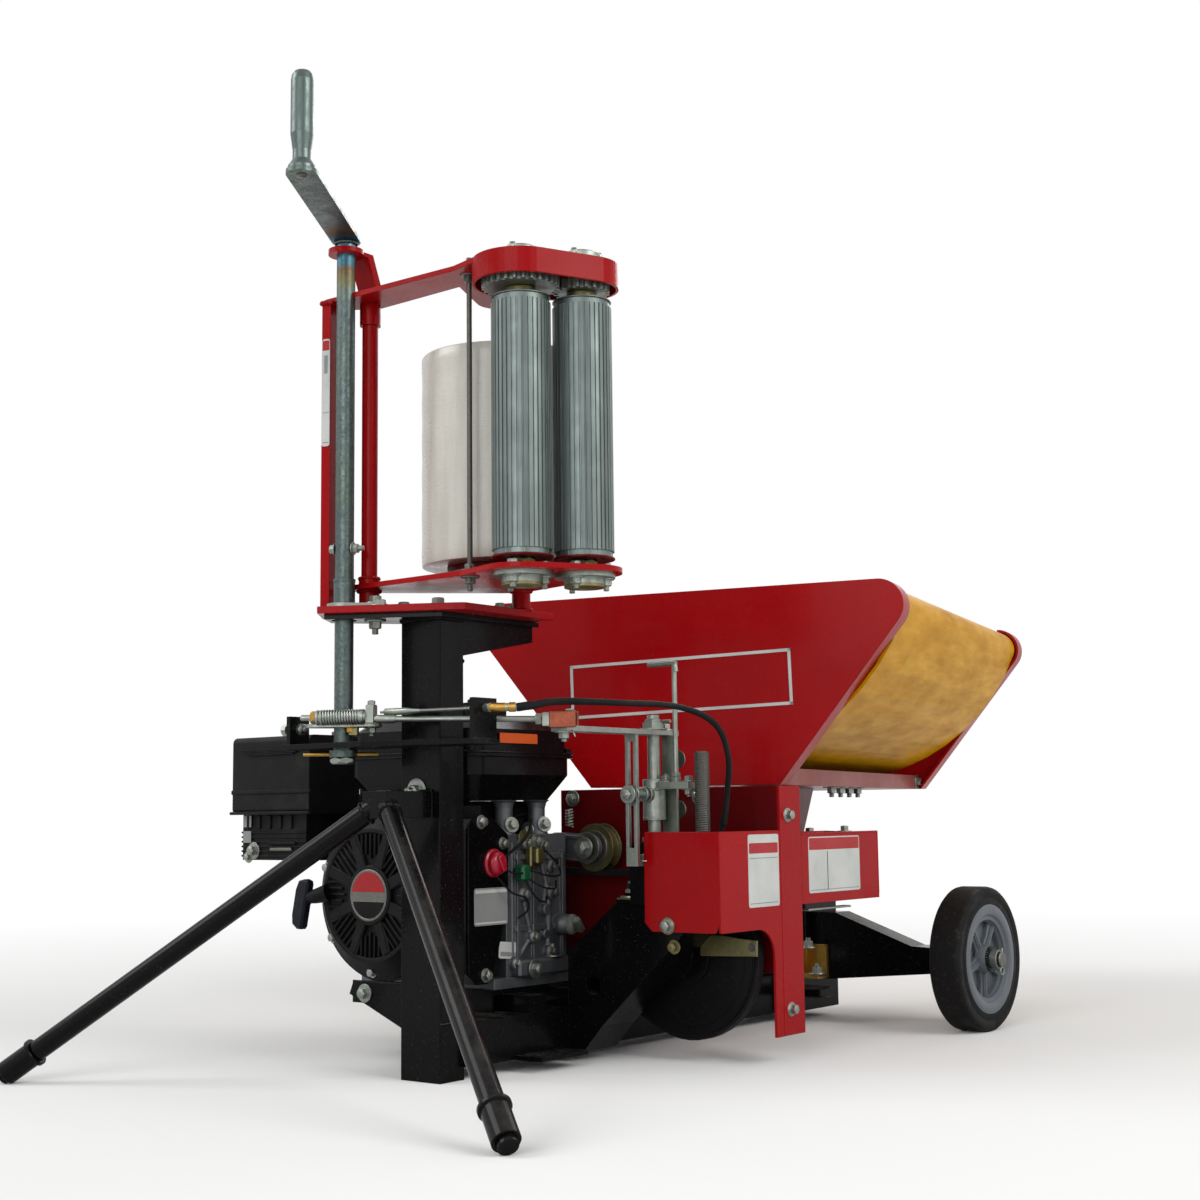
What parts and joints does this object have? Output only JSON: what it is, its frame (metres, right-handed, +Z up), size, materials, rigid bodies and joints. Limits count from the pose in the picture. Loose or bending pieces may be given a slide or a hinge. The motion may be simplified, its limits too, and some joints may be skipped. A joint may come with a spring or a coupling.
{
  "type": "bale wrapper",
  "caption": "Small wheeled bale wrapper: turntable with sagging belt, upright film carrier with fluted stretch rollers, petrol engine and hand crank.",
  "frame": {"origin": "on the ground below the middle of the front post", "axes": "+X to the machine's right, +Y to its rear (towards the turntable), +Z up"},
  "size_m": [0.7766, 1.4751, 1.092],
  "materials": {
    "black_paint": "satin",
    "red_paint": "gloss",
    "dark_red_paint": "satin",
    "zinc_plate": "satin",
    "steel": "satin",
    "cast_alloy": "cast",
    "roller_alloy": "satin",
    "black_plastic": "textured",
    "film_white": "gloss",
    "tyre_rubber": "matte",
    "belt_rubber": "matte",
    "belt_yellow": "matte",
    "yellow_zinc": "satin",
    "switch_red": "gloss",
    "burnt_steel": "heat-stained"
  },
  "bodies": {
    "frame": {"base_frame": "black_paint", "post": "black_paint", "stand_legs": "black_paint", "axle_beam": "black_paint", "platform": "red_paint", "carrier_column": "red_paint", "lower_arm": "red_paint", "upper_arm": "red_paint", "tie_rod": "steel", "bearings": "zinc_plate", "film_spindle": "dark_red_paint", "control_bracket": "black_paint", "control_rod": "steel", "control_cable": "belt_rubber", "counter_gearbox": "black_paint", "counter_stand": "zinc_plate", "belt_guard": "dark_red_paint", "counter_guard": "red_paint", "side_guard": "red_paint", "bearing_bracket": "yellow_zinc", "engine_block": "cast_alloy", "blower_housing": "black_paint", "recoil_starter": "black_plastic", "fuel_tank": "black_paint", "air_cleaner": "black_plastic", "muffler": "burnt_steel", "ignition_switch": "switch_red", "drive_pulleys": "steel", "drive_belt": "belt_rubber"},
    "foot_left": {"foot_left": "black_paint"},
    "foot_right": {"foot_right": "black_paint"},
    "wheel_left": {"tyre_left": "tyre_rubber", "rim_left": "roller_alloy"},
    "wheel_right": {"tyre_right": "tyre_rubber", "rim_right": "roller_alloy"},
    "film": {"film_roll": "film_white"},
    "stretch_slow": {"roller_slow": "roller_alloy", "gear_slow": "steel"},
    "stretch_fast": {"roller_fast": "roller_alloy", "gear_fast": "steel"},
    "handle": {"control_shaft": "zinc_plate", "crank_grip": "zinc_plate", "lever_plate": "zinc_plate"},
    "follower": {"counter_follower": "zinc_plate"},
    "screw": {"counter_screw": "burnt_steel"},
    "idler": {"idler_arm": "cast_alloy", "idler_pulley": "steel"},
    "table": {"turntable_hub": "dark_red_paint", "cross_tray": "zinc_plate", "side_plates": "red_paint", "table_belt": "belt_yellow", "belt_rollers": "steel"}
  },
  "joints": [
    {"name": "foot_left_slide", "type": "slide", "parent": "frame", "child": "foot_left", "axis": [-0.7249, -0.3961, -0.5636], "range_m": [0, 0.05]},
    {"name": "foot_right_slide", "type": "slide", "parent": "frame", "child": "foot_right", "axis": [0.6986, -0.4114, -0.5854], "range_m": [0, 0.05]},
    {"name": "wheel_left_spin", "type": "hinge", "parent": "frame", "child": "wheel_left", "pos_m": [-0.316, 0.731, 0.096], "axis": [1, 0, 0], "continuous": true},
    {"name": "wheel_right_spin", "type": "hinge", "parent": "frame", "child": "wheel_right", "pos_m": [0.316, 0.731, 0.096], "axis": [1, 0, 0], "continuous": true},
    {"name": "film_spin", "type": "hinge", "parent": "frame", "child": "film", "pos_m": [0.05687, 0.06013, 0.7], "axis": [0, 0, 1], "continuous": true},
    {"name": "stretch_slow_spin", "type": "hinge", "parent": "frame", "child": "stretch_slow", "pos_m": [0.16539, -0.032, 0.7], "axis": [0, 0, 1], "continuous": true},
    {"name": "stretch_fast_spin", "type": "hinge", "parent": "frame", "child": "stretch_fast", "pos_m": [0.2045, 0.02845, 0.7], "axis": [0, 0, 1], "continuous": true},
    {"name": "handle_turn", "type": "hinge", "parent": "frame", "child": "handle", "pos_m": [-0.075, -0.069, 0.7], "axis": [0, 0, 1], "range_deg": [-15, 15]},
    {"name": "follower_lift", "type": "slide", "parent": "frame", "child": "follower", "axis": [0, 0, 1], "range_m": [-0.02, 0.04]},
    {"name": "screw_spin", "type": "hinge", "parent": "frame", "child": "screw", "pos_m": [0.234, 0.207, 0.3], "axis": [0, 0, 1], "continuous": true},
    {"name": "idler_swing", "type": "hinge", "parent": "frame", "child": "idler", "pos_m": [-0.032, 0.27, 0.256], "axis": [0, 1, 0], "range_deg": [-10, 0]},
    {"name": "table_turn", "type": "hinge", "parent": "frame", "child": "table", "pos_m": [0, 0.741, 0.3], "axis": [0, 0, 1], "continuous": true}
  ],
  "couplings": [
    {"joint": "stretch_fast_spin", "follows": "stretch_slow_spin", "ratio": -1.4}
  ]
}
